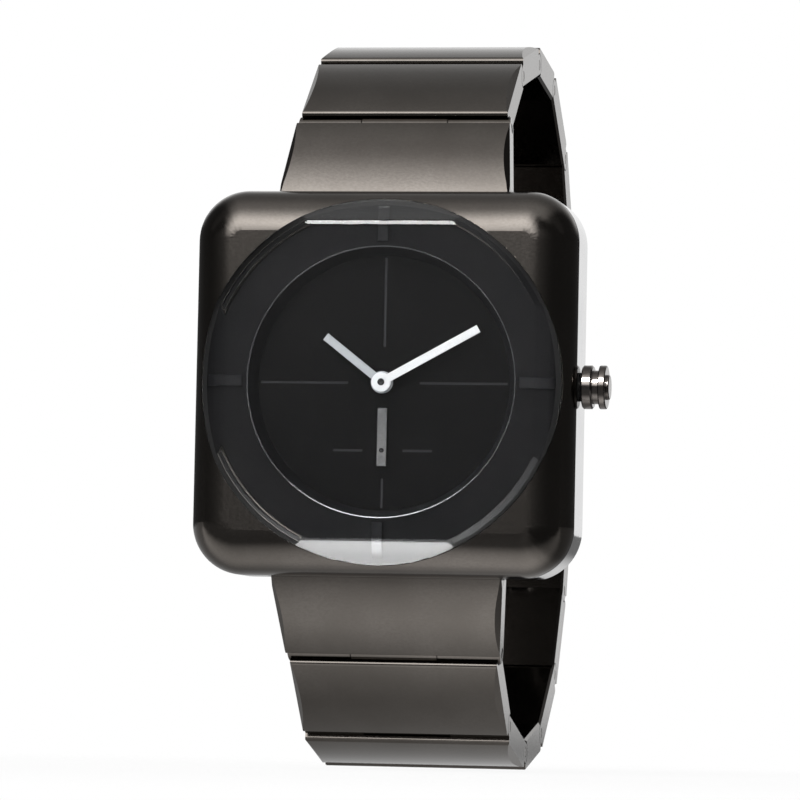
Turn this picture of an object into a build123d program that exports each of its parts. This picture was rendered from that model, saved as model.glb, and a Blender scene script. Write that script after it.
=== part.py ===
from build123d import *
from math import acos, asin, cos, degrees, hypot, radians, sin, sqrt
import os

# Square wristwatch with an integrated link bracelet, closed as it is worn.
# Millimetres. X points to the crown, Z to 12 o'clock, Y from the dial to the wrist.
# The origin is the centre of the flat pad on the case back, where the watch meets the wrist.

# Case sizes
case_width = 40.0
case_half = case_width / 2
case_corner = 5.3
front_round = 4.5
bezel_depth = 4.05
case_depth = 10.0
back_plate = 0.8
back_pad = 0.2
watch_depth = case_depth + back_plate + back_pad
seam_groove = 0.15
fit_gap = 0.05
overrun = 1.0

# Crystal sizes
crystal_margin = 1.1
crystal_radius = case_half - crystal_margin
crystal_rise = 0.7
crystal_bevel = 0.9
crystal_bevel_depth = 0.5
crystal_thick = 2.3
facet_margin = 3.6
facet_reach = case_half - facet_margin
facet_lift = 0.1
facet_edge_round = 0.8
gasket_thick = 0.25
gasket_width = 0.62
gasket_margin = 0.3
gasket_outer = crystal_radius - gasket_margin
gasket_radii = (gasket_outer - gasket_width, gasket_outer)

# Dial sizes
ring_margin = 1.1
ring_outer = crystal_radius - ring_margin
ring_width = 3.85
ring_bore_top = ring_outer - ring_width
ring_slope = 0.75
ring_bore_dial = ring_bore_top - ring_slope
ring_top = 2.15
ring_edge_bevel = 0.1
dial_depth = 4.2
dial_thick = 0.5
dial_floor = dial_depth + dial_thick
dial_margin = 0.7
dial_radius = ring_outer - dial_margin
block_width = 1.16
block_length = 3.2
block_margin = 0.1
block_outer = ring_outer - block_margin
block_reach = (block_outer - block_length, block_outer)
block_height = 0.45
block_bevel = 0.09
line_width = 0.25
line_cut = 0.12
line_inner = 3.75
line_margin = 0.25
line_outer = ring_bore_dial - line_margin
line_below_length = 3.05
line_below = line_outer - line_below_length
small_dial_drop = 7.0
small_line = (2.1, 5.2)

# Hands
hand_thick = 0.2
minute_margin = 1.7
minute_length = ring_bore_dial - minute_margin
hour_margin = 3.9
hour_length = minute_length - hour_margin
hand_width = 0.82
hub_radius = 1.0
hour_hub_radius = 1.15
minute_hand_depth = 2.5
hour_hand_depth = 3.0
seconds_hand_depth = 3.6
seconds_reach = 4.35
seconds_tail = 1.6
seconds_width = 0.95
minute_angle = 61.0
hour_angle = 308.0
arbor_radius = 0.36
hour_tube_bore = 0.42
hour_tube_radius = 0.7
seconds_arbor_radius = 0.25
turn_gap = 0.05

# Movement
# Depths are shares of the room behind the dial, places and lengths are shares of the plate radius
movement_room = case_depth - dial_floor
room_shares = {"plate": 0.1132, "stem": 0.434, "board": 0.802}
battery_share = 0.365
battery_place_share = (-0.431, -0.354)
coil_place_share = (-0.308, 0.508)
coil_length_share = 0.69
post_place_shares = ((0.577, 0.569), (0.554, -0.569))
crown_depth = dial_floor + room_shares["stem"] * movement_room
stem_radius = 0.48
back_margin = 4.2
back_size = case_width - 2 * back_margin
back_lip = 0.4
cavity_radius = back_size / 2 - back_lip
holder_gap = 0.1
holder_wall = 2.2
holder_outer = cavity_radius - holder_gap
holder_radii = (holder_outer - holder_wall, holder_outer)
holder_ends = (0.2, 0.3)
holder_depths = (dial_floor + holder_ends[0], case_depth - holder_ends[1])
plate_radius = holder_radii[0] - holder_gap
plate_drop = 0.22
plate_depths = (dial_floor + room_shares["plate"] * movement_room, crown_depth - stem_radius - plate_drop)
wheel_radius = 3.0
wheel_thick = 0.25
board_thick = 0.4
board_start = dial_floor + room_shares["board"] * movement_room
board_depths = (board_start, board_start + board_thick)
board_radius = plate_radius - holder_gap
battery_gap = 0.5
battery_radius = battery_share * plate_radius
battery_height = board_start - battery_gap - fit_gap - plate_depths[1]
battery_place = tuple(share * plate_radius for share in battery_place_share)
battery_window = 0.95
coil_length = coil_length_share * plate_radius
coil_gap = 0.15
coil_lip = 0.35
coil_flange = (board_start - plate_depths[1] - coil_gap) / 2
coil_radius = coil_flange - coil_lip
coil_flange_thick = 0.5
coil_place = tuple(share * plate_radius for share in coil_place_share)
post_radius = 0.9
post_places = [tuple(share * plate_radius for share in place) for place in post_place_shares]

# Crown and stem
crown_radius = 2.27
crown_gap = 0.25
crown_start = case_half + crown_gap
crown_barrel = 1.1
crown_groove = 0.65
crown_groove_radius = 1.75
crown_disc = 0.75
crown_boss = 0.3
crown_boss_radius = 1.3
crown_edge = 0.15
crown_bore = 1.5
tube_radius = 1.1
tube_bore = 0.55
tube_grip = 3.0
tube_inner_end = case_half - tube_grip
tube_stand = 0.75
stem_margin = 4.8
stem_inner_end = plate_radius - stem_margin
stem_shoulder = 1.2
notch_length = 0.6
notch_start = stem_inner_end + stem_shoulder
stem_notch = (notch_start, notch_start + notch_length)
stem_notch_radius = 0.28
seal_width = 0.35
lever_thick = 0.4
lever_width = 2.4
lever_gap = 0.38
pad_half = 1.5
crown_pull = 1.0

# Case back
back_corner = 3.0
pad_margin = 2.8
pad_radius = back_size / 2 - pad_margin
screw_margin = 2.2
screw_place = back_size / 2 - screw_margin
screw_radius = 0.6
screw_head_radius = 1.1
screw_head = 0.45
screw_length = 3.2
screw_slot = (0.3, 0.2)
back_gasket_margin = 0.1
back_gasket_width = 0.25
back_gasket_inner = cavity_radius + back_gasket_margin
back_gasket_radii = (back_gasket_inner, back_gasket_inner + back_gasket_width)
back_gasket_thick = 0.4

# Bracelet sizes
band_width = 22.0
first_width = 24.3
link_pitch = 11.35
first_pitch = 10.15
first_pivot_margin = 1.85
first_pivot_depth = case_depth - first_pivot_margin
first_pivot_inset = 1.3
first_pivot_height = case_half - first_pivot_inset
upper_headings = (60.8, 36.1, 13.3, -7.0, -36.0, -59.0, -75.5, -89.0)
lower_headings = (60.0, 42.2, 13.7, -10.5, -35.0, -57.5, -73.0, -89.0)
inner_half = 1.25
knuckle_radius = 1.2
root_radius = 1.6
link_gap = 0.12
near_face = -0.1
far_face = 0.5
near_height = 1.95
far_height = 1.8
dome_height = 2.5
near_edge_round = 0.45
far_edge_round = 0.15
centre_half = 4.6
side_gap = 0.1
side_bevel_start = 1.9
inner_bevel = 0.25
pin_radius = 0.5
pin_recess = 0.02
end_pin_radius = 0.6
end_pin_grip = 1.3
lug_slot_gap = 0.25
lug_slot_reach = 3.4
lug_slot_floor = case_half - lug_slot_reach
lug_slot_height = 4.1
lug_slot_front = case_depth - lug_slot_height
closing_gap = 0.3

# Clasp sizes
arm_pin_drop = 2.4
arm_pin_setback = 1.6
arm_pin_radius = 0.4
ear_radius = 1.15
ear_inner = 4.75
ear_outer = 6.75
arm_half = 4.6
arm_thick = 1.0
barrel_radius = 1.0
lower_arm_drop = 3.6
lower_arm_end = 0.9
blade_pin_reach = 46.2
blade_pin_margin = 3.5
blade_pin_height = case_half - blade_pin_margin
blade_thick = 0.9
blade_leg_thick = 1.44
blade_end_reach = 45.2
blade_end_drop = 2.1
blade_end_height = blade_pin_height - blade_end_drop
blade_middle_reach = 46.3
button_size = (2.8, 1.5)
button_stand = 0.5
button_length = 1.6
button_travel = 0.4
button_gap = 0.08
button_corner = 0.4

os.makedirs("parts", exist_ok=True)


# Helpers that place shapes by their depth behind the front plane of the case
def y_at(depth):
    return depth - watch_depth


def disc(radius, start, end, x=0, z=0):
    middle = Pos(x, y_at((start + end) / 2), z)
    return middle * Rot(90, 0, 0) * Cylinder(radius, end - start)


def ring(inner, outer, start, end, x=0, z=0):
    cut = disc(inner, start - overrun, end + overrun, x, z)
    return disc(outer, start, end, x, z) - cut


def rod_x(radius, x_start, x_end, depth=crown_depth, z=0):
    middle = Pos((x_start + x_end) / 2, y_at(depth), z)
    return middle * Rot(0, 90, 0) * Cylinder(radius, x_end - x_start)


def block(x_range, depth_range, z_range):
    size = [high - low for low, high in (x_range, depth_range, z_range)]
    middle = [(low + high) / 2 for low, high in (x_range, depth_range, z_range)]
    return Pos(middle[0], y_at(middle[1]), middle[2]) * Box(*size)


def rounded_slab(size, corner, start, end):
    outline = Rot(90, 0, 0) * RectangleRounded(size, size, corner)
    return Pos(0, y_at(end), 0) * extrude(outline, end - start, dir=(0, -1, 0))


def save(shape, name):
    solids = shape.solids()
    shape = solids[0] if len(solids) == 1 else Compound(children=solids)
    shape.label = name
    export_step(shape, f"parts/{name}.step")


# Case
front_plane = 0
seam_depth = bezel_depth + seam_groove
ledge_depth = crystal_thick - crystal_rise + gasket_thick
pocket_radius = crystal_radius + fit_gap
slot_half = first_width / 2 + lug_slot_gap
end_pin_half = slot_half + end_pin_grip


def case_outer():
    body = rounded_slab(case_width, case_corner, front_plane, case_depth)
    return fillet(body.faces().sort_by(Axis.Y)[0].edges(), front_round)


def bezel():
    body = case_outer() & rounded_slab(case_width + overrun, case_corner, -overrun, bezel_depth)
    body -= disc(pocket_radius, -overrun, ledge_depth)
    return body - disc(ring_outer + fit_gap, -overrun, case_depth)


def lug_slot():
    depths = (lug_slot_front, case_depth + overrun)
    return block((-slot_half, slot_half), depths, (lug_slot_floor, case_half + overrun))


def screw_places():
    sides = (-screw_place, screw_place)
    return [(x, z) for x in sides for z in sides]


def middle_case():
    body = case_outer() & rounded_slab(case_width + overrun, case_corner, bezel_depth, case_depth)
    rim = rounded_slab(case_width + overrun, case_corner, bezel_depth, seam_depth)
    neck = rounded_slab(case_width - 2 * seam_groove, case_corner - seam_groove, bezel_depth, seam_depth)
    body -= rim - neck
    body -= disc(ring_outer + fit_gap, front_plane, dial_depth)
    body -= disc(dial_radius + fit_gap, front_plane, dial_depth + dial_thick)
    body -= disc(cavity_radius, front_plane, case_depth + overrun)
    for side in (lug_slot(), mirror(lug_slot(), Plane.XY)):
        body -= side
    for sign in (-1, 1):
        body -= rod_x(end_pin_radius, -end_pin_half, end_pin_half, first_pivot_depth, sign * first_pivot_height)
    body -= rod_x(tube_radius, cavity_radius - overrun, case_half + overrun)
    for x, z in screw_places():
        body -= disc(screw_radius, case_depth - screw_length, case_depth + overrun, x, z)
    body -= ring(*back_gasket_radii, case_depth - back_gasket_thick, case_depth + overrun)
    return body


def end_pins():
    pins = [rod_x(end_pin_radius, -end_pin_half, end_pin_half, first_pivot_depth, sign * first_pivot_height)
            for sign in (-1, 1)]
    return Compound(children=pins)


def crystal():
    top = -crystal_rise
    bottom = ledge_depth - gasket_thick
    face_radius = crystal_radius - crystal_bevel
    outline = Polyline((0, y_at(top)), (face_radius, y_at(top)), (crystal_radius, y_at(top + crystal_bevel_depth)),
                       (crystal_radius, y_at(bottom)), (0, y_at(bottom)), close=True)
    body = revolve(make_face(outline), Axis.Y)
    foot = facet_foot_depth()
    slope = degrees(asin((foot - top) / hypot(foot - top, crystal_radius - facet_reach)))
    for turn in (0, 90, 180, 270):
        tool = Box(case_width, crystal_thick * 2, case_width, align=(Align.CENTER, Align.MAX, Align.MIN))
        tool = Pos(0, y_at(top), facet_reach) * Rot(-slope, 0, 0) * Pos(0, 0, -case_half) * tool
        body -= Rot(0, turn, 0) * tool
    face = body.faces().sort_by(Axis.Y)[0]
    chords = face.edges().filter_by(GeomType.LINE)
    return fillet(chords, facet_edge_round)


def facet_foot_depth():
    reach = crystal_radius - (case_half - front_round)
    return front_round - sqrt(front_round**2 - reach**2) - facet_lift


def crystal_gasket():
    return ring(*gasket_radii, ledge_depth - gasket_thick, ledge_depth)


def case_back():
    plate = rounded_slab(back_size, back_corner, case_depth, case_depth + back_plate)
    plate += disc(pad_radius, case_depth, watch_depth)
    for x, z in screw_places():
        plate -= disc(screw_radius + fit_gap, case_depth - overrun, watch_depth + overrun, x, z)
        head_floor = case_depth + back_plate - screw_head
        plate -= disc(screw_head_radius + fit_gap, head_floor, watch_depth + overrun, x, z)
    return plate


def back_gasket():
    return ring(*back_gasket_radii, case_depth - back_gasket_thick, case_depth)


def back_screws():
    screws = []
    face = case_depth + back_plate
    for x, z in screw_places():
        screw = disc(screw_head_radius, face - screw_head, face, x, z)
        screw += disc(screw_radius, case_depth - screw_length, face - screw_head, x, z)
        slot_width, slot_depth = screw_slot
        reach = screw_head_radius + overrun
        slot = block((x - reach, x + reach), (face - slot_depth, face + overrun),
                     (z - slot_width / 2, z + slot_width / 2))
        screws.append(screw - slot)
    return Compound(children=screws)


# Dial side
def chapter_ring():
    top = y_at(ring_top)
    floor = y_at(dial_depth)
    outline = Polyline((ring_bore_dial, floor), (ring_outer, floor), (ring_outer, top),
                       (ring_bore_top + ring_edge_bevel, top), (ring_bore_top, top + ring_edge_bevel), close=True)
    return revolve(make_face(outline), Axis.Y)


def hour_blocks():
    low, high = block_reach
    shape = block((-block_width / 2, block_width / 2), (ring_top - block_height, ring_top), (low, high))
    shape = chamfer(shape.faces().sort_by(Axis.Y)[0].edges(), block_bevel)
    return Compound(children=[Rot(0, turn, 0) * shape for turn in (0, 90, 180, 270)])


def dial():
    plate = disc(dial_radius, dial_depth, dial_floor)
    plate -= disc(hour_tube_radius + 2 * fit_gap, front_plane, case_depth)
    plate -= disc(seconds_arbor_radius + 2 * fit_gap, front_plane, case_depth, 0, -small_dial_drop)
    cut = (dial_depth - overrun, dial_depth + line_cut)
    half = line_width / 2
    plate -= block((-half, half), cut, (line_inner, line_outer))
    plate -= block((-half, half), cut, (-line_outer, -line_below))
    for sign in (-1, 1):
        ends = sorted((sign * line_inner, sign * line_outer))
        plate -= block(ends, cut, (-half, half))
        ends = sorted(sign * place for place in small_line)
        plate -= block(ends, cut, (-small_dial_drop - half, -small_dial_drop + half))
    return plate


# Hands and the arbors that carry them
def hand(reach, width, hub, bore, depth, angle):
    low, high = depth, depth + hand_thick
    shape = block((-width / 2, width / 2), (low, high), (0, reach))
    shape += disc(hub, low, high)
    shape -= disc(bore, low - overrun, high + overrun)
    return Rot(0, angle, 0) * shape


def minute_hand():
    return hand(minute_length, hand_width, hub_radius, arbor_radius, minute_hand_depth, minute_angle)


def hour_hand():
    return hand(hour_length, hand_width, hour_hub_radius, hour_tube_radius, hour_hand_depth, hour_angle)


def seconds_hand():
    low, high = seconds_hand_depth, seconds_hand_depth + hand_thick
    half = seconds_width / 2
    z_range = (-small_dial_drop - seconds_tail, -small_dial_drop + seconds_reach)
    shape = block((-half, half), (low, high), z_range)
    return shape - disc(seconds_arbor_radius, front_plane, case_depth, 0, -small_dial_drop)


def minute_arbor():
    top = minute_hand_depth - hand_thick / 2
    shape = disc(arbor_radius, top, plate_depths[1] + wheel_thick + fit_gap)
    return shape + disc(hub_radius, plate_depths[1] + fit_gap, plate_depths[1] + fit_gap + wheel_thick)


def hour_tube():
    top = hour_hand_depth
    wheel_top = dial_floor + 2 * fit_gap
    shape = ring(hour_tube_bore, hour_tube_radius, top, wheel_top + wheel_thick)
    return shape + ring(hour_tube_bore, wheel_radius, wheel_top, wheel_top + wheel_thick)


def seconds_arbor():
    top = seconds_hand_depth
    foot = plate_depths[1] + fit_gap
    shape = disc(seconds_arbor_radius, top, foot + wheel_thick, 0, -small_dial_drop)
    return shape + disc(hub_radius, foot, foot + wheel_thick, 0, -small_dial_drop)


# Movement
def movement_holder():
    shape = ring(*holder_radii, *holder_depths)
    return shape - rod_x(tube_radius + fit_gap, 0, case_half)


def movement_plate():
    shape = disc(plate_radius, *plate_depths)
    shape -= disc(arbor_radius + turn_gap, front_plane, case_depth)
    shape -= disc(seconds_arbor_radius + turn_gap, front_plane, case_depth, 0, -small_dial_drop)
    pad_depths = (plate_depths[1], crown_depth - stem_radius - turn_gap)
    pad_width = stem_notch[0] - lever_thick - stem_inner_end
    pad = block((stem_inner_end, stem_inner_end + pad_width), pad_depths, (-pad_half, pad_half))
    return shape + pad


def movement_coil():
    x, z = coil_place
    depth = plate_depths[1] + coil_flange
    half = coil_length / 2
    shape = rod_x(coil_radius, x - half, x + half, depth, z)
    for end in (x - half - coil_flange_thick, x + half):
        shape += rod_x(coil_flange, end, end + coil_flange_thick, depth, z)
    return shape


def battery():
    x, z = battery_place
    top = plate_depths[1] + fit_gap
    return disc(battery_radius, top, top + battery_height, x, z)


def circuit_board():
    shape = disc(board_radius, *board_depths)
    post_depths = (plate_depths[1], board_depths[0])
    x, z = battery_place
    shape -= disc(battery_radius - battery_window, front_plane, case_depth, x, z)
    for place in post_places:
        shape += disc(post_radius, *post_depths, *place)
    return shape


# Crown
def crown():
    barrel_end = crown_start + crown_barrel
    groove_end = barrel_end + crown_groove
    disc_end = groove_end + crown_disc
    shape = chamfer(rod_x(crown_radius, crown_start, barrel_end).edges(), crown_edge)
    shape += rod_x(crown_groove_radius, barrel_end - crown_edge, groove_end + crown_edge)
    shape += fillet(rod_x(crown_radius, groove_end, disc_end).edges(), crown_edge)
    boss = rod_x(crown_boss_radius, disc_end - crown_edge, disc_end + crown_boss)
    shape += fillet(boss.edges().sort_by(Axis.X)[-1], crown_edge)
    shape -= rod_x(crown_bore, crown_start - overrun, barrel_end + crown_groove / 2)
    return shape - rod_x(stem_radius, crown_start, groove_end + crown_disc / 2)


def stem():
    end = crown_start + crown_barrel + crown_groove + crown_disc / 2
    shape = rod_x(stem_radius, stem_inner_end, end)
    return shape - (rod_x(crown_radius, *stem_notch) - rod_x(stem_notch_radius, *stem_notch))


def tube_end():
    return case_half + tube_stand


def crown_seal():
    start = tube_end() - 2 * seal_width
    shape = rod_x(crown_bore, start, start + seal_width)
    return shape - rod_x(tube_radius + turn_gap, start - overrun, start + overrun)


def crown_tube():
    shape = rod_x(tube_radius, tube_inner_end, tube_end())
    return shape - rod_x(tube_bore, tube_inner_end - overrun, tube_end() + overrun)


def setting_lever():
    middle = sum(stem_notch) / 2
    x_range = (middle - lever_thick / 2, middle + lever_thick / 2)
    top = crown_depth - stem_notch_radius - turn_gap
    shape = block(x_range, (top, board_start - lever_gap), (-lever_width / 2, lever_width / 2))
    slot_half_width = stem_notch_radius + turn_gap
    return shape - block(x_range, (top, crown_depth + slot_half_width), (-slot_half_width, slot_half_width))


# Bracelet links, drawn with s along the link from its near pivot and n outwards
knuckle_cut = knuckle_radius + link_gap


def flat_face(points):
    return make_face(Polyline(*points, close=True))


def lying(sketch, x_start, x_end):
    return Pos(x_start, 0, 0) * extrude(Plane.YZ * sketch, x_end - x_start)


def plate_outline(start, end, rounded_end=True):
    dome = ThreePointArc((start, near_height), ((start + end) / 2, dome_height), (end, far_height))
    rest = Polyline((end, far_height), (end, -inner_half), (start, -inner_half), (start, near_height))
    outline = make_face([dome, *rest.edges()])
    outline = round_corner(outline, (start, near_height), near_edge_round)
    if rounded_end:
        outline = round_corner(outline, (end, far_height), far_edge_round)
    return outline


def round_corner(outline, place, radius):
    corner = outline.vertices().sort_by_distance(Vector(*place))[0]
    return fillet(corner, radius)


def with_knuckle(outline, s=0, radius=knuckle_radius):
    return outline + Pos(s, 0) * Circle(radius)


def with_hollow(outline, s=0):
    return outline - Pos(s, 0) * Circle(knuckle_cut)


def trimmed(solid, length, near_half, far_half):
    margin = 2 * root_radius
    sections = []
    for s, half in ((-margin, near_half), (root_radius, near_half), (length + margin, far_half)):
        top = 2 * dome_height
        side = half - (top - side_bevel_start)
        outline = [(-half, -inner_half + inner_bevel), (-half + inner_bevel, -inner_half),
                   (-half + inner_bevel, -margin), (half - inner_bevel, -margin),
                   (half - inner_bevel, -inner_half), (half, -inner_half + inner_bevel),
                   (half, side_bevel_start), (side, top), (-side, top), (-half, side_bevel_start)]
        sections.append(Pos(0, s, 0) * Rot(90, 0, 0) * flat_face(outline))
    lower = loft(sections[:2], ruled=True)
    upper = loft(sections[1:], ruled=True)
    return (solid & lower) + (solid & upper)


def bore(radius, half, s=0, n=0):
    return Pos(0, s, n) * Rot(0, 90, 0) * Cylinder(radius, 2 * half + 2 * overrun)


def columns(centre, outer, split, half):
    return lying(centre, -split, split) + lying(outer, -half, -split) + lying(outer, split, half)


def link(length, centre_knuckles):
    half = band_width / 2
    split = centre_half + (-side_gap if centre_knuckles else side_gap) / 2
    outline = plate_outline(near_face, length - far_face)
    knuckled = with_knuckle(with_knuckle(outline), length)
    hollow = with_hollow(with_hollow(outline), length)
    pair = (knuckled, hollow) if centre_knuckles else (hollow, knuckled)
    shape = columns(*pair, split, half)
    hole = pin_radius if centre_knuckles else pin_radius + turn_gap
    shape -= bore(hole, half) + bore(hole, half, length)
    return trimmed(shape, length, half, half)


def first_link():
    half = first_width / 2
    split = centre_half + side_gap / 2
    root = with_knuckle(plate_outline(0, first_pitch - far_face), 0, root_radius)
    shape = columns(with_hollow(root, first_pitch), with_knuckle(root, first_pitch), split, half)
    shape -= bore(end_pin_radius + turn_gap, half) + bore(pin_radius + turn_gap, half, first_pitch)
    return trimmed(shape, first_pitch, half, band_width / 2)


def end_link(length):
    half = band_width / 2
    split = centre_half - side_gap / 2
    outline = plate_outline(near_face, length)
    shape = columns(with_knuckle(outline), with_hollow(outline), split, half)
    shape -= bore(pin_radius, half)
    shape = trimmed(shape, length, half, half)
    place = arm_pin_place(length)
    for start in (-ear_outer, ear_inner):
        foot = Pos(place[0], (place[1] - inner_half) / 2) * Rectangle(2 * ear_radius, -inner_half - place[1])
        ear = foot + Pos(*place) * Circle(ear_radius)
        shape += lying(ear, start, start + ear_outer - ear_inner)
    return shape - Pos(0, *place) * Rot(0, 90, 0) * Cylinder(arm_pin_radius, 2 * ear_outer + overrun)


def arm_pin_place(length):
    return (length - arm_pin_setback, -arm_pin_drop)


def pin(radius, half, s=0, n=0):
    return Pos(0, s, n) * Rot(0, 90, 0) * Cylinder(radius, 2 * half)


# Pivot lines of the closed bracelet, from the case round to the clasp
def pivot_line(headings):
    y, z = y_at(first_pivot_depth), first_pivot_height
    points = [(y, z)]
    for number, heading in enumerate(headings[:-1]):
        pitch = first_pitch if number == 0 else link_pitch
        y += pitch * cos(radians(heading))
        z += pitch * sin(radians(heading))
        points.append((y, z))
    return points


sides = {"upper": (upper_headings, pivot_line(upper_headings)),
         "lower": (lower_headings, pivot_line(lower_headings))}
link_count = len(upper_headings)
last = link_count - 1
end_drop = sides["upper"][1][last][1] + sides["lower"][1][last][1] - closing_gap
end_length = end_drop / 2 / -sin(radians(upper_headings[last]))


def placed(shape, number, side="upper"):
    headings, pivots = sides[side]
    y, z = pivots[number]
    shape = Pos(0, y, z) * Rot(headings[number], 0, 0) * shape
    return shape if side == "upper" else mirror(shape, Plane.XY)


def world(number, s, n, side="upper"):
    headings, pivots = sides[side]
    y, z = pivots[number]
    turn = radians(headings[number])
    place = (y + s * cos(turn) - n * sin(turn), z + s * sin(turn) + n * cos(turn))
    return place if side == "upper" else (place[0], -place[1])


def both_halves(shape, name, number):
    for side in sides:
        save(placed(shape, number, side), f"{side}_{name}_{number + 1}")


def button_cut(length, sign, gap):
    run, height = button_size
    outline = RectangleRounded(run + 2 * gap, height + 2 * gap, button_corner + gap)
    inner = band_width / 2 + button_stand - button_length - (button_travel + gap if gap else 0)
    outer = band_width / 2 + (overrun if gap else button_stand)
    shape = lying(Pos(length / 2, 0) * outline, inner, outer)
    return shape if sign > 0 else mirror(shape, Plane.YZ)


def bracelet():
    both_halves(first_link(), "link", 0)
    for number in range(1, last):
        both_halves(link(link_pitch, number % 2 == 1), "link", number)
    plain = end_link(end_length)
    pocketed = plain
    for sign, hand_side in ((-1, "left"), (1, "right")):
        pocketed -= button_cut(end_length, sign, button_gap)
        save(placed(button_cut(end_length, sign, 0), last), f"clasp_button_{hand_side}")
    save(placed(pocketed, last), f"upper_link_{link_count}")
    save(placed(plain, last, "lower"), f"lower_link_{link_count}")
    half = band_width / 2 - pin_recess
    for number in range(1, last, 2):
        pins = Compound(children=[pin(pin_radius, half), pin(pin_radius, half, link_pitch)])
        both_halves(pins, "pins", number)
    arm_pin = pin(arm_pin_radius, ear_outer, *arm_pin_place(end_length))
    both_halves(Compound(children=[pin(pin_radius, half), arm_pin]), "pins", last)


# Folding clasp
def strip(start, end, thick, half):
    run = (end[0] - start[0], end[1] - start[1])
    length = hypot(*run)
    turn = degrees(acos(run[0] / length)) * (1 if run[1] > 0 else -1)
    middle = Pos(0, (start[0] + end[0]) / 2, (start[1] + end[1]) / 2)
    return middle * Rot(turn, 0, 0) * Box(2 * half, length, thick)


def at(radius, half, place):
    return Pos(0, *place) * Rot(0, 90, 0) * Cylinder(radius, 2 * half)


arm_pivot = world(last, *arm_pin_place(end_length))
blade_pivot = (blade_pin_reach, blade_pin_height)
blade_foot = (blade_pivot[0], -blade_pivot[1])


def upper_arm():
    shape = strip(arm_pivot, blade_pivot, arm_thick, arm_half)
    shape += at(barrel_radius, arm_half, arm_pivot) + at(barrel_radius, arm_half, blade_pivot)
    shape -= at(arm_pin_radius + turn_gap, arm_half + overrun, arm_pivot)
    return shape - at(arm_pin_radius + turn_gap, arm_half + overrun, blade_pivot)


def lower_arm():
    free_end = world(last, end_length - lower_arm_end, -lower_arm_drop, "lower")
    shape = strip(free_end, blade_foot, arm_thick, arm_half)
    shape += at(barrel_radius, arm_half, blade_foot) + at(arm_thick / 2, arm_half, free_end)
    return shape - at(arm_pin_radius + turn_gap, arm_half + overrun, blade_foot)


def centre_blade():
    ends = [(blade_end_reach, sign * blade_end_height) for sign in (1, -1)]
    middle = (blade_middle_reach, 0)
    line = ThreePointArc(ends[0], middle, ends[1])
    sagitta = middle[0] - ends[0][0]
    radius = (blade_end_height**2 + sagitta**2) / (2 * sagitta)
    centre = (middle[0] - radius, 0)
    outer, inner = radius + blade_thick / 2, radius - blade_thick / 2
    band = Pos(*centre) * (Circle(outer) - Circle(inner))
    window = Pos(middle[0], 0) * Rectangle(2 * ear_outer, 2 * blade_end_height)
    shape = lying(band & window, -ear_outer, ear_outer)
    for sign in (1, -1):
        place = (blade_pivot[0], sign * blade_pivot[1])
        end = (ends[0][0], sign * (blade_end_height - barrel_radius))
        for x in (-ear_outer, ear_inner):
            leg = strip(end, place, blade_leg_thick, (ear_outer - ear_inner) / 2)
            ear = leg + at(barrel_radius, (ear_outer - ear_inner) / 2, place)
            shape += Pos(x + (ear_outer - ear_inner) / 2, 0, 0) * ear
        shape -= at(arm_pin_radius, ear_outer + overrun, place)
    return shape


def blade_pins():
    return Compound(children=[at(arm_pin_radius, ear_outer, place) for place in (blade_pivot, blade_foot)])


pieces = {
    "bezel": bezel, "middle_case": middle_case, "end_pins": end_pins, "crystal": crystal,
    "crystal_gasket": crystal_gasket, "case_back": case_back, "back_gasket": back_gasket,
    "back_screws": back_screws, "chapter_ring": chapter_ring, "hour_blocks": hour_blocks, "dial": dial,
    "minute_hand": minute_hand, "minute_arbor": minute_arbor, "hour_hand": hour_hand,
    "hour_tube": hour_tube, "seconds_hand": seconds_hand, "seconds_arbor": seconds_arbor,
    "movement_holder": movement_holder, "movement_plate": movement_plate,
    "movement_coil": movement_coil, "battery": battery, "circuit_board": circuit_board,
    "crown": crown, "stem": stem, "crown_seal": crown_seal, "crown_tube": crown_tube,
    "setting_lever": setting_lever, "upper_arm": upper_arm, "lower_arm": lower_arm,
    "centre_blade": centre_blade, "blade_pins": blade_pins,
}
for name, build in pieces.items():
    save(build(), name)
bracelet()

print("upper", [(round(y, 3), round(z, 3)) for y, z in sides["upper"][1]])
print("lower", [(round(y, 3), round(z, 3)) for y, z in sides["lower"][1]])
print("arm pivot", arm_pivot, "blade pivot", blade_pivot, "end link length", end_length)
print("end faces", world(last, end_length, 0), world(last, end_length, 0, "lower"))
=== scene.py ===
# %% [markdown]
# # A square steel wristwatch
# The CAD parts come in as a fixed frame, in metres, with the crown at +X, twelve o'clock at +Z and the
# dial facing -Y. They already have the right shapes, so the work here is all in finishes and light. We
# load the frame first and note how large the object is.

# %% Load the frame
from math import cos, pi, radians, sin

import bmesh
import bpy
from mathutils import Matrix, Vector


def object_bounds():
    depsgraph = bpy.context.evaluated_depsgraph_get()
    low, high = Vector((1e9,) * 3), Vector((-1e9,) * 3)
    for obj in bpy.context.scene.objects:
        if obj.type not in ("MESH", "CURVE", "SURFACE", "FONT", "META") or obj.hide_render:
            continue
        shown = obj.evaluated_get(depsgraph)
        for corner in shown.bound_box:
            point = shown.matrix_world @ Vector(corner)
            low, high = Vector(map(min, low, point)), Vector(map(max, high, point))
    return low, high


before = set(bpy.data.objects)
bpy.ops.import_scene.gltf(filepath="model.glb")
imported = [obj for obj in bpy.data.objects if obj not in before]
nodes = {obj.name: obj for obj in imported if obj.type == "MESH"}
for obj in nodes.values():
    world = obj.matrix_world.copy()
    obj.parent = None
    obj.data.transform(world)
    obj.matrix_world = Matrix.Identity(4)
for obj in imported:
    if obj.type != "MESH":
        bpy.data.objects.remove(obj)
cad_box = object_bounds()
scene = bpy.context.scene
print("CAD box in mm", [[round(1000 * c, 2) for c in corner] for corner in cad_box])

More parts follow.
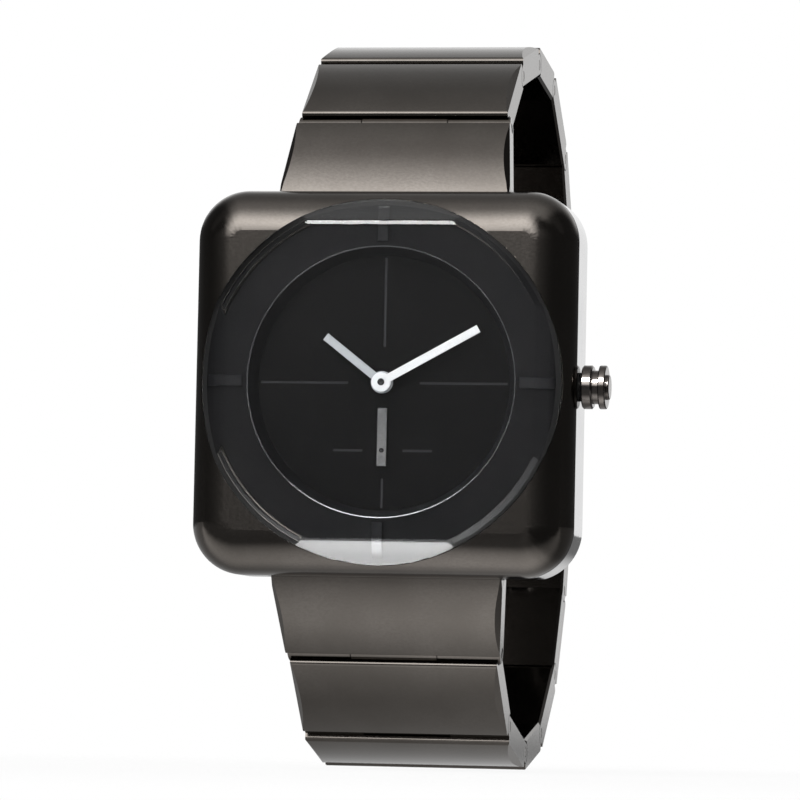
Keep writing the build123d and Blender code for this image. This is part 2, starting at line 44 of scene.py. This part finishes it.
# %% [markdown]
# The photograph was taken with a long lens, a little to the crown side and slightly below the watch.
# A camera that is placed by its angles, its distance and its roll repeats that view. The two small
# shifts stand for the crop: the lens axis passed a little left of and above the picture's middle.

# %% Camera
MM = 0.001
front_centre = Vector((0, -11 * MM, 0))
camera_turn = radians(10.416)
camera_drop = radians(3.754)
camera_roll = radians(1.209)
camera_distance = 540.05 * MM
focal_pixels = 5259
picture_pixels = 800
lens_axis = (378.3, 380.85)

from_watch = Vector((sin(camera_turn) * cos(camera_drop), -cos(camera_turn) * cos(camera_drop),
                     -sin(camera_drop)))
level_right = Vector((cos(camera_turn), sin(camera_turn), 0))
level_up = level_right.cross(-from_watch)
right = cos(camera_roll) * level_right + sin(camera_roll) * level_up
up = cos(camera_roll) * level_up - sin(camera_roll) * level_right

camera_data = bpy.data.cameras.new("product_camera")
camera_data.sensor_width = 36
camera_data.lens = camera_data.sensor_width * focal_pixels / picture_pixels
camera_data.shift_x = 0.5 - lens_axis[0] / picture_pixels
camera_data.shift_y = lens_axis[1] / picture_pixels - 0.5
camera_data.clip_start, camera_data.clip_end = 0.01, 50
camera = bpy.data.objects.new("product_camera", camera_data)
scene.collection.objects.link(camera)
camera.matrix_world = Matrix.Translation(front_centre + camera_distance * from_watch) @ Matrix(
    (right, up, from_watch)).transposed().to_4x4()
scene.camera = camera
print("Lens", round(camera_data.lens, 1), "mm")

# %% [markdown]
# Colours are picked as sRGB hex values, as a paint program shows them, and Blender's shaders want
# linear light. One function converts them. A second adds a node with its settings and its links, so
# that each finish below reads as a short list of what it is made of. An input that is given as `_0`
# means the socket with that number, because the inputs of a Math node all have the same name.

# %% Helpers for colours and nodes
def linear(hex_colour):
    shares = [int(hex_colour[i:i + 2], 16) / 255 for i in (1, 3, 5)]
    return tuple(c / 12.92 if c <= 0.04045 else ((c + 0.055) / 1.055) ** 2.4 for c in shares) + (1,)


def add(tree, kind, settings=None, **inputs):
    made = tree.nodes.new(kind)
    for name, value in (settings or {}).items():
        setattr(made, name, value)
    for name, value in inputs.items():
        socket = made.inputs[int(name[1:]) if name[1:].isdigit() else name.replace("_", " ")]
        if isinstance(value, bpy.types.NodeSocket):
            tree.links.new(value, socket)
        else:
            socket.default_value = value
    return made


white_light = linear("#ffffff")
print("White in linear light", white_light)

# %% [markdown]
# Every finish here has the same three layers: a colour that wanders a little between two tones, a
# roughness that varies with the same grain, and a shallow bump. Grain sizes are given in millimetres.
# A noise texture repeats about once per 1/scale units of its coordinates, and Object coordinates are
# metres, so a grain of g millimetres needs a scale of 1000 / g. The colour follows the fine grain times
# a broader cloud, and the ramp spreads the two tones over the values that this product usually has.

# %% A finish made of grain
tone_places = (0.12, 0.42)
noise_range = (0.3, 0.7)
grain_depth = 0.01 * MM
cloud_size = 6.0


def grainy(name, tones, roughness, grain, stretch=(1, 1, 1), bump=0.1, **sockets):
    material = bpy.data.materials.new(name)
    material.use_nodes = True
    tree = material.node_tree
    shader = tree.nodes["Principled BSDF"]
    for socket, value in sockets.items():
        shader.inputs[socket.replace("_", " ")].default_value = value
    place = add(tree, "ShaderNodeTexCoord").outputs["Object"]
    stretched = add(tree, "ShaderNodeMapping", Vector=place, Scale=stretch).outputs["Vector"]
    fine = add(tree, "ShaderNodeTexNoise", Vector=stretched, Scale=1000 / grain, Detail=3.0).outputs["Fac"]
    broad = add(tree, "ShaderNodeTexNoise", Vector=place, Scale=1000 / cloud_size,
                Detail=2.0).outputs["Fac"]
    both = add(tree, "ShaderNodeMath", {"operation": "MULTIPLY"}, _0=fine, _1=broad).outputs[0]
    ramp = add(tree, "ShaderNodeValToRGB", Fac=both)
    for point, at, tone in zip(ramp.color_ramp.elements, tone_places, tones):
        point.position, point.color = at, linear(tone)
    tree.links.new(ramp.outputs["Color"], shader.inputs["Base Color"])
    gloss = add(tree, "ShaderNodeMapRange", Value=fine, From_Min=noise_range[0], From_Max=noise_range[1],
                To_Min=roughness[0], To_Max=roughness[1])
    tree.links.new(gloss.outputs["Result"], shader.inputs["Roughness"])
    relief = add(tree, "ShaderNodeBump", Height=fine, Strength=bump, Distance=grain_depth)
    tree.links.new(relief.outputs["Normal"], shader.inputs["Normal"])
    return material


print("Broad cloud of", cloud_size, "mm")

# %% [markdown]
# The case front, the links and the clasp are stainless steel under a black vapour-deposited coating.
# The steel is blasted fine and lightly brushed before it is coated, which leaves a soft satin sheen
# with a slightly brown cast. A metal shader with a dark base colour gives coloured, dark reflections.
# The true grain is far under a pixel here, so it is drawn about 0.2 mm coarse, just enough to show.
# The other outer parts are the same steel, polished, turned or brushed, most of them without a coating.

# %% Coated and bare steels
# blasted, brushed and coated: dark satin, with a warm cast
coated = grainy("satin black coated steel", ("#534f4b", "#5c5854"), (0.13, 0.18), 0.2,
                stretch=(0.6, 1, 1), Metallic=1.0)
# polished by wheel: a nearly clear mirror
polished = grainy("polished bare steel", ("#b9b9ba", "#c9c9c9"), (0.07, 0.12), 0.4, bump=0.03,
                  Metallic=1.0)
# polished, then coated: dark, with sharper highlights than the case
crown_finish = grainy("polished black coated steel", ("#5a5653", "#68635f"), (0.10, 0.16), 0.3, bump=0.05,
                      Metallic=1.0)
# turned on a lathe: fine rings round the rod, which lies along X
pin_finish = grainy("turned steel rod", ("#77726e", "#8a8681"), (0.2, 0.3), 0.15, stretch=(6, 1, 1),
                    bump=0.15, Metallic=1.0)
# brushed on a belt: long fine lines from left to right
back_finish = grainy("brushed steel case back", ("#8d8a87", "#a09c99"), (0.22, 0.32), 0.15,
                     stretch=(0.08, 1, 1), bump=0.3, Metallic=1.0)
# blued by heat: nearly black, with a soft sheen
arbor_finish = grainy("dark steel arbor", ("#2a2a2b", "#3a3a3b"), (0.2, 0.3), 0.1, Metallic=1.0)
print("Steel finishes", 6)

# %% [markdown]
# The crystal is a thick synthetic sapphire, ground with four flat facets so that it follows the
# rounded case. Sapphire bends light more than window glass, with an index of refraction near 1.77,
# and so it also mirrors more of the studio. A thin anti-reflective layer, drawn as a grey tint of the
# reflection, keeps the dial readable. Its only texture is polishing haze, which has to stay very faint:
# a rougher glass would let the light of the crystal's own lamps, further below, through to the dial.

# %% Crystal
sapphire_bending = 1.77
coated_reflection = (0.2, 0.2, 0.2, 1)
crystal_glass = grainy("sapphire crystal", ("#f6f8f9", "#ffffff"), (0.0, 0.003), 2.0, bump=0.0,
                       Transmission_Weight=1.0, IOR=sapphire_bending, Specular_Tint=coated_reflection)
print("Index of refraction", sapphire_bending)

# %% [markdown]
# The dial is brass under matt black lacquer. The ring round it and the hour blocks are black too, and
# only their gloss tells them apart. A matting agent in the lacquer of dial and ring swallows nearly all
# of the surface reflection, so their specular level is close to nothing. The hands are steel under
# lacquer, and the hour hand is given a darker grey than the minute hand's white.

# %% Dial, ring and hands
# sprayed with matting agent: the deepest black of the watch, without a sheen
dial_finish = grainy("matt black lacquer dial", ("#060606", "#090909"), (0.45, 0.55), 0.12, bump=0.2,
                     Specular_IOR_Level=0.02)
# sprayed and rubbed down: black, a little paler than the dial
ring_finish = grainy("satin black lacquer ring", ("#0f0f10", "#141415"), (0.32, 0.42), 0.15, bump=0.12,
                     Specular_IOR_Level=0.03)
# fired and polished: black with a clear gloss
block_finish = grainy("gloss black enamel block", ("#121214", "#1a1a1c"), (0.08, 0.14), 0.3, bump=0.05)
# sprayed and baked: even and soft
white_hand = grainy("white lacquered hand", ("#e2e4e6", "#ecedee"), (0.35, 0.45), 0.2, bump=0.05)
# the hour hand is given a darker colour than the minute hand
darker_hour_hand = grainy("darker hour hand", ("#a0a3a7", "#abaeb1"), (0.35, 0.45), 0.2, bump=0.05)
# blasted with beads: dark and finely speckled
seconds_finish = grainy("blasted grey seconds hand", ("#1a1a1a", "#343434"), (0.45, 0.6), 0.25, bump=0.4)
print("Finishes under the crystal", 6)

# %% [markdown]
# The cross lines are cut into the dial's lacquer, and the inner edge of the ring is cut to a paler bare
# metal.
# Both cuts are real shapes already. The paler colour in the lines is a painted highlight: it stands for the
# light that the walls of each groove catch. The floor of a line lies behind the dial's face, so a mask from
# the depth of a point finds it, and a mix puts the paler colour there.

# %% Cut lines of the dial, with a painted highlight
behind_face = -6.77 * MM


# puts a paler colour where a mask says: bare metal on the ring's edge, a painted highlight in the dial's
# lines
def colour_cut_as_metal_or_highlight(material, mask, colour):
    tree = material.node_tree
    base = tree.nodes["Principled BSDF"].inputs["Base Color"]
    lacquer = base.links[0].from_socket
    mixed = add(tree, "ShaderNodeMix", {"data_type": "RGBA"}, _0=mask, _6=lacquer, _7=linear(colour))
    tree.links.new(mixed.outputs[2], base)


dial_tree = dial_finish.node_tree
dial_place = add(dial_tree, "ShaderNodeTexCoord").outputs["Object"]
dial_depth = add(dial_tree, "ShaderNodeSeparateXYZ", Vector=dial_place).outputs["Y"]
# painted highlight: the grooves of the lines get a paler colour for the light that their walls catch
line_highlight_mask = add(dial_tree, "ShaderNodeMath", {"operation": "GREATER_THAN"}, _0=dial_depth, _1=behind_face)
colour_cut_as_metal_or_highlight(dial_finish, line_highlight_mask.outputs[0], "#3c3c3e")
print("Lines show behind a depth of", round(behind_face / MM, 2), "mm")

# %% [markdown]
# The bright edge of the ring is what lies in front of one depth and inside one radius. Two masks find
# the rest of the ring, and one minus the larger of them finds the edge.

# %% Mask of the bright edge
edge_depth = -8.74 * MM
edge_radius = 14.06 * MM

ring_tree = ring_finish.node_tree
ring_place = add(ring_tree, "ShaderNodeTexCoord").outputs["Object"]
ring_depth = add(ring_tree, "ShaderNodeSeparateXYZ", Vector=ring_place).outputs["Y"]
flattened = add(ring_tree, "ShaderNodeVectorMath", {"operation": "MULTIPLY"}, _0=ring_place,
                _1=(1, 0, 1)).outputs[0]
ring_radius = add(ring_tree, "ShaderNodeVectorMath", {"operation": "LENGTH"}, _0=flattened).outputs["Value"]
deeper = add(ring_tree, "ShaderNodeMath", {"operation": "GREATER_THAN"}, _0=ring_depth, _1=edge_depth)
wider = add(ring_tree, "ShaderNodeMath", {"operation": "GREATER_THAN"}, _0=ring_radius, _1=edge_radius)
not_edge = add(ring_tree, "ShaderNodeMath", {"operation": "MAXIMUM"}, _0=deeper.outputs[0],
               _1=wider.outputs[0]).outputs[0]
edge = add(ring_tree, "ShaderNodeMath", {"operation": "SUBTRACT"}, _0=1.0, _1=not_edge).outputs[0]
colour_cut_as_metal_or_highlight(ring_finish, edge, "#8a8a8c")
print("Edge inside a radius of", round(edge_radius / MM, 2), "mm")

# %% [markdown]
# The edge is bare metal, so the mask also drives Metallic and a smoother roughness. A real cut edge is
# slightly rounded and mirrors the studio from more directions than a flat bevel does. We lean its normal
# halfway to -Y, the side that the dial faces, which stands for that rounding.

# %% Bare metal on the bright edge
edge_roughness = 0.15

ring_shader = ring_tree.nodes["Principled BSDF"]
ring_tree.links.new(edge, ring_shader.inputs["Metallic"])
satin = ring_shader.inputs["Roughness"].links[0].from_socket
smooth = add(ring_tree, "ShaderNodeMix", {"data_type": "FLOAT"}, _0=edge, _2=satin,
             _3=edge_roughness).outputs[0]
ring_tree.links.new(smooth, ring_shader.inputs["Roughness"])

relief = ring_shader.inputs["Normal"].links[0].from_socket
facing = add(ring_tree, "ShaderNodeNewGeometry").outputs["Normal"]
leaning = add(ring_tree, "ShaderNodeVectorMath", {"operation": "ADD"}, _0=facing, _1=(0, -1, 0)).outputs[0]
bent = add(ring_tree, "ShaderNodeMix", {"data_type": "VECTOR"}, _0=edge, _4=relief, _5=leaning).outputs[1]
unit = add(ring_tree, "ShaderNodeVectorMath", {"operation": "NORMALIZE"}, _0=bent).outputs[0]
ring_tree.links.new(unit, ring_shader.inputs["Normal"])
print("Ring nodes", len(ring_tree.nodes))

# %% [markdown]
# Nobody sees the movement in the photograph, but the model can be opened, so each inner part still
# gets the finish of the real thing: nickelled brass, copper wire, solder mask, rubber and moulded nylon.

# %% Inside the case
# rolled and plated with nickel: pale yellow, with lines from the rolling
brass = grainy("nickelled movement brass", ("#a89a76", "#c2b48f"), (0.25, 0.35), 0.2, stretch=(0.2, 1, 1),
               bump=0.2, Metallic=1.0)
# drawn, enamelled and wound round an axis along X: fine turns side by side
copper = grainy("enamelled copper wire", ("#8a4a2a", "#b5683c"), (0.25, 0.4), 0.12, stretch=(4, 1, 1),
                bump=0.5, Metallic=1.0)
# printed resin over copper tracks: green and half glossy
board = grainy("green solder mask", ("#1c4a2c", "#27603a"), (0.3, 0.45), 0.4, bump=0.2)
# pressed from rolled sheet: pale grey with a dull shine
cell = grainy("rolled steel button cell", ("#a9aaac", "#bfc0c2"), (0.2, 0.3), 0.2, Metallic=1.0)
# moulded: black and dull
rubber = grainy("black nitrile rubber", ("#151515", "#1f1f1f"), (0.65, 0.8), 0.1, bump=0.3)
# moulded: off-white with a soft sheen
nylon = grainy("moulded white nylon", ("#c9c7c0", "#d8d6cf"), (0.45, 0.55), 0.5)
print("Inner finishes", 6)

# %% [markdown]
# A node of the CAD keeps its mesh, and only its material slots are filled. One table says which nodes
# share a finish. The bracelet's links are numbered outwards from the case, and every second one carries
# two pins.

# %% A finish for every node
halves = ("upper", "lower")
finishes = {
    coated: ["bezel", "centre_blade", "upper_arm", "lower_arm", "clasp_button_left", "clasp_button_right"]
            + [f"{half}_link_{number}" for half in halves for number in range(1, 9)],
    polished: ["middle_case"],
    crown_finish: ["crown"],
    pin_finish: ["end_pins", "blade_pins", "stem", "crown_tube", "setting_lever"]
                + [f"{half}_pins_{number}" for half in halves for number in range(2, 9, 2)],
    back_finish: ["case_back", "back_screws"],
    crystal_glass: ["crystal"],
    dial_finish: ["dial"],
    ring_finish: ["chapter_ring"],
    block_finish: ["hour_blocks"],
    white_hand: ["minute_hand"],
    darker_hour_hand: ["hour_hand"],
    seconds_finish: ["seconds_hand"],
    arbor_finish: ["minute_arbor", "hour_tube", "seconds_arbor"],
    brass: ["movement_plate"],
    copper: ["movement_coil"],
    board: ["circuit_board"],
    cell: ["battery"],
    rubber: ["crystal_gasket", "back_gasket", "crown_seal"],
    nylon: ["movement_holder"],
}
for finish, names in finishes.items():
    for name in names:
        for slot in nodes[name].material_slots:
            slot.material = finish
print("Nodes with a finish", sum(map(len, finishes.values())), "of", len(nodes))

# %% [markdown]
# A metal shows only what it mirrors, so its shading is drawn by what stands round it. Cards with soft
# edges are easiest to paint on the world, where each level is worked out from the direction of a ray.
# +Y is behind the watch and +Z is up. The height of a direction is its angle from straight ahead, over
# the top, to straight behind.

# %% Direction of a ray
world = bpy.data.worlds.new("white studio")
scene.world = world
world.use_nodes = True
sky_tree = world.node_tree
sky_tree.nodes.clear()
toward = add(sky_tree, "ShaderNodeTexCoord").outputs["Generated"]
sideways, backwards, upwards = add(sky_tree, "ShaderNodeSeparateXYZ", Vector=toward).outputs
forwards = add(sky_tree, "ShaderNodeMath", {"operation": "MULTIPLY"}, _0=backwards, _1=-1.0).outputs[0]
height = add(sky_tree, "ShaderNodeMath", {"operation": "ARCTAN2"}, _0=upwards, _1=forwards).outputs[0]
half_turn = add(sky_tree, "ShaderNodeMath", {"operation": "DIVIDE"}, _0=height, _1=pi).outputs[0]
print("World", world.name)

# %% [markdown]
# One function makes every card. Its levels are pairs of a height in degrees and a brightness, which a
# ramp joins up. The ramp's own values stay at one or below, as a colour's do, so they are divided by the
# strongest level and multiplied again. Then the card is faded along other directions: each fade gives
# the direction, where the card has ended, where it is full, and how much of it is left beyond its end.

# %% One card
over_the_top = 180


def card(heights, *fades):
    strongest = max(value for degrees, value in heights)
    ramp = add(sky_tree, "ShaderNodeValToRGB", Fac=half_turn)
    points = ramp.color_ramp.elements
    for degrees, value in heights[1:-1]:
        points.new(degrees / over_the_top)
    for point, (degrees, value) in zip(points, heights):
        point.position = degrees / over_the_top
        point.color = (value / strongest,) * 3 + (1,)
    light = add(sky_tree, "ShaderNodeMath", {"operation": "MULTIPLY"}, _0=ramp.outputs["Color"],
                _1=strongest).outputs[0]
    for direction, ended, full, left in fades:
        share = add(sky_tree, "ShaderNodeMapRange", {"interpolation_type": "SMOOTHSTEP"}, Value=direction,
                    From_Min=ended, From_Max=full, To_Min=left, To_Max=1.0).outputs["Result"]
        light = add(sky_tree, "ShaderNodeMath", {"operation": "MULTIPLY"}, _0=light, _1=share).outputs[0]
    return light


print("A card's heights run to", over_the_top, "degrees")

# %% [markdown]
# The key light is a large soft box above the camera and to its left. Metal turned further aside stays
# dark. Under it lies a weak glow. Straight ahead it is nearly black, which keeps the flat front of the
# case black, and it rises within a few degrees, for the metal that leans a little upwards.

# %% Soft box and glow
soft_box = card([(0, 0), (7, 0), (9, 2.2), (13, 4.3), (19, 5.3), (27, 6.0), (35, 5.6), (42, 4.5),
                 (50, 2.6), (58, 1.1), (66, 0.3), (76, 0)],
                (sideways, 0.32, -0.12, 0.0), (sideways, -0.7, -0.28, 0.0))
glow = card([(0, 0.06), (2.5, 0.12), (5, 0.26), (9, 0.38), (18, 0.4), (32, 0)],
            (sideways, 0.85, -0.2, 0.0), (sideways, -1.05, -0.25, 0.0))
print("Cards in front", 2)

# %% [markdown]
# A pale ceiling lights the top of the curved bracelet, and is dimmer on the left and right. The backdrop
# is a bright spot straight behind the watch, with a soft edge. Beyond it metal mirrors next to nothing,
# so that edges which face away from the camera don't burn out.

# %% Ceiling and backdrop
aside = add(sky_tree, "ShaderNodeMath", {"operation": "ABSOLUTE"}, _0=sideways).outputs[0]
ceiling = card([(0, 0), (40, 0), (58, 1.0), (80, 0.95), (95, 0.62), (110, 0.42), (130, 0.42), (150, 0.8),
                (165, 1.2), (180, 1.0)],
               (upwards, 0.12, 0.35, 0.0), (aside, 0.7, 0.35, 0.12))

backdrop_lift = 0.12
backdrop_edge = (0.93, 0.98)
beyond_backdrop = 0.07
behind = add(sky_tree, "ShaderNodeMath", {"operation": "MULTIPLY_ADD"}, _0=upwards, _1=backdrop_lift,
             _2=backwards).outputs[0]
backdrop = add(sky_tree, "ShaderNodeMapRange", {"interpolation_type": "SMOOTHSTEP"}, Value=behind,
               From_Min=backdrop_edge[0], From_Max=backdrop_edge[1], To_Min=beyond_backdrop,
               To_Max=1.0).outputs["Result"]
print("Beyond the backdrop", beyond_backdrop)

# %% [markdown]
# The brighter of the two groups counts in each direction: soft box and ceiling, or glow and backdrop.
# The camera itself sees plain white everywhere, which a Light Path node tells apart from what the metal
# mirrors. That makes a white background without more light on the object.

# %% World
high = add(sky_tree, "ShaderNodeMath", {"operation": "ADD"}, _0=soft_box, _1=ceiling).outputs[0]
low = add(sky_tree, "ShaderNodeMath", {"operation": "ADD"}, _0=glow, _1=backdrop).outputs[0]
cards = add(sky_tree, "ShaderNodeMath", {"operation": "MAXIMUM"}, _0=high, _1=low).outputs[0]
camera_ray = add(sky_tree, "ShaderNodeLightPath").outputs["Is Camera Ray"]
level = add(sky_tree, "ShaderNodeMix", {"data_type": "FLOAT"}, _0=camera_ray, _2=cards, _3=1.0).outputs[0]
sky = add(sky_tree, "ShaderNodeBackground", Color=white_light, Strength=level)
sky_tree.links.new(sky.outputs[0], add(sky_tree, "ShaderNodeOutputWorld").inputs["Surface"])
print("World nodes", len(sky_tree.nodes))

# %% [markdown]
# The lamps are small helpers. The crystal gets strips of light of its own, as a photographer adds thin
# cards until each facet reads: one overhead for the upper facet, one for its rounded lower edge and one
# close below for the lower facet. The crown gets one for the highlight on its rims. Light linking keeps
# them off everything else. The crystal casts no shadow and is hidden from diffuse rays, so that the dial
# and the hands are lit once, as if there were no glass.

# %% What the lamps light
nodes["crystal"].visible_shadow = nodes["crystal"].visible_diffuse = False
crystal_only = bpy.data.collections.new("crystal only")
crystal_only.objects.link(nodes["crystal"])
crown_only = bpy.data.collections.new("crown only")
crown_only.objects.link(nodes["crown"])

# %% [markdown]
# A lamp is aimed by a bearing, counted from straight ahead towards the crown, a height and a distance
# from its target. Its power is worked out from the brightness that a mirror would show: an area lamp of
# P watts shows P / (pi * area).

# %% Lamps
lower_facet_edge = front_centre - Vector((0, 0, 17.6 * MM))


def lamp(name, receivers, bearing, rise, distance, size, brightness, target=front_centre):
    data = bpy.data.lights.new(name, "AREA")
    data.shape, data.size, data.size_y = "RECTANGLE", size[0], size[1]
    data.energy = brightness * pi * size[0] * size[1]
    made = bpy.data.objects.new(name, data)
    side, lift = radians(bearing), radians(rise)
    away = Vector((sin(side) * cos(lift), -cos(side) * cos(lift), sin(lift)))
    made.location = target + distance * away
    made.rotation_euler = away.to_track_quat("Z", "Y").to_euler()
    made.visible_camera = made.visible_transmission = False
    scene.collection.objects.link(made)
    made.light_linking.receiver_collection = receivers
    return made


lamps = [
    lamp("upper_facet_strip", crystal_only, 0, 86, 0.8, (0.5, 0.1), 0.8),
    lamp("facet_edge_strip", crystal_only, -10, 35, 1.0, (0.4, 1.0), 40.0),
    lamp("lower_facet_strip", crystal_only, 0, -78, 18 * MM, (60 * MM, 14 * MM), 19.0, lower_facet_edge),
    lamp("crown_strip", crown_only, -10, 38, 1.0, (0.5, 0.3), 90.0),
]
print("Lamps", len(lamps))

# %% [markdown]
# The floor is one large pale grid just under the lowest point of the watch.

# %% Floor
floor_gap = 0.3 * MM
floor_mesh = bpy.data.meshes.new("floor")
shape = bmesh.new()
bmesh.ops.create_grid(shape, x_segments=1, y_segments=1, size=6)
bmesh.ops.translate(shape, verts=shape.verts, vec=(0, 0, cad_box[0].z - floor_gap))
shape.to_mesh(floor_mesh)
shape.free()
floor = bpy.data.objects.new("floor", floor_mesh)
scene.collection.objects.link(floor)
floor_card = grainy("pale studio floor", ("#f4f4f4", "#fafafa"), (0.7, 0.8), 3.0, bump=0.02)
floor_mesh.materials.append(floor_card)
print("Floor at", round(floor_mesh.vertices[0].co.z / MM, 2), "mm")

# %% [markdown]
# In metal and in glass the floor shows as a pool of light. It is weak far in front, strongest just in
# front of the watch, and weaker again below it, where the watch stands in the way. Sideways it rises
# towards the crown and then falls off. The lower links mirror it.

# %% Light that the floor gives to mirrors
pool_far, pool_front, pool_shade = 0.2, 1.5, 0.95

floor_tree = floor_card.node_tree
spot = add(floor_tree, "ShaderNodeTexCoord").outputs["Object"]
spot_parts = add(floor_tree, "ShaderNodeSeparateXYZ", Vector=spot).outputs
soft = {"interpolation_type": "SMOOTHSTEP"}
near = add(floor_tree, "ShaderNodeMapRange", soft, Value=spot_parts["Y"], From_Min=-50 * MM,
           From_Max=-10 * MM, To_Min=pool_far, To_Max=pool_front).outputs["Result"]
under = add(floor_tree, "ShaderNodeMapRange", soft, Value=spot_parts["Y"], From_Min=-12 * MM,
            From_Max=6 * MM, To_Min=0.0, To_Max=pool_shade).outputs["Result"]
rising = add(floor_tree, "ShaderNodeMapRange", Value=spot_parts["X"], From_Min=-20 * MM,
             From_Max=16 * MM, To_Min=0.85, To_Max=1.3).outputs["Result"]
falling = add(floor_tree, "ShaderNodeMapRange", soft, Value=spot_parts["X"], From_Min=18 * MM,
              From_Max=45 * MM, To_Min=1.0, To_Max=0.25).outputs["Result"]
along = add(floor_tree, "ShaderNodeMath", {"operation": "SUBTRACT"}, _0=near, _1=under).outputs[0]
across = add(floor_tree, "ShaderNodeMath", {"operation": "MULTIPLY"}, _0=rising, _1=falling).outputs[0]
pool = add(floor_tree, "ShaderNodeMath", {"operation": "MULTIPLY"}, _0=along, _1=across).outputs[0]
glowing = add(floor_tree, "ShaderNodeEmission", Color=white_light, Strength=pool).outputs[0]
print("Pool of light from", pool_far, "to", pool_front)

# %% [markdown]
# The camera looks straight through nearly all of the floor at the white world, so there is no horizon,
# and links that hang below the floor in an open pose still show. The small rest is the pale card
# itself, which holds a soft shadow near the watch and fades out further away.

# %% What each ray sees of the floor
clear_near, clear_far = 0.93, 1.0
floor_path = add(floor_tree, "ShaderNodeLightPath").outputs
mirrored = add(floor_tree, "ShaderNodeMath", {"operation": "MAXIMUM"}, _0=floor_path["Is Glossy Ray"],
               _1=floor_path["Is Transmission Ray"]).outputs[0]
from_middle = add(floor_tree, "ShaderNodeVectorMath", {"operation": "LENGTH"}, _0=spot).outputs["Value"]
share = add(floor_tree, "ShaderNodeMapRange", soft, Value=from_middle, From_Min=60 * MM,
            From_Max=200 * MM, To_Min=clear_near, To_Max=clear_far).outputs["Result"]
seen = add(floor_tree, "ShaderNodeMath", {"operation": "MULTIPLY"}, _0=floor_path["Is Camera Ray"],
           _1=share).outputs[0]
not_card = add(floor_tree, "ShaderNodeMath", {"operation": "MAXIMUM"}, _0=seen, _1=mirrored).outputs[0]
clear = add(floor_tree, "ShaderNodeBsdfTransparent").outputs[0]
open_floor = add(floor_tree, "ShaderNodeMixShader", _0=mirrored, _1=clear, _2=glowing).outputs[0]
blended = add(floor_tree, "ShaderNodeMixShader", _0=not_card,
              _1=floor_tree.nodes["Principled BSDF"].outputs[0], _2=open_floor).outputs[0]
floor_tree.links.new(blended, floor_tree.nodes["Material Output"].inputs["Surface"])
print("Floor nodes", len(floor_tree.nodes))

# %% [markdown]
# The Standard view shows colours as they are written, which a product picture on white needs.

# %% Colour view
scene.view_settings.view_transform = "Standard"
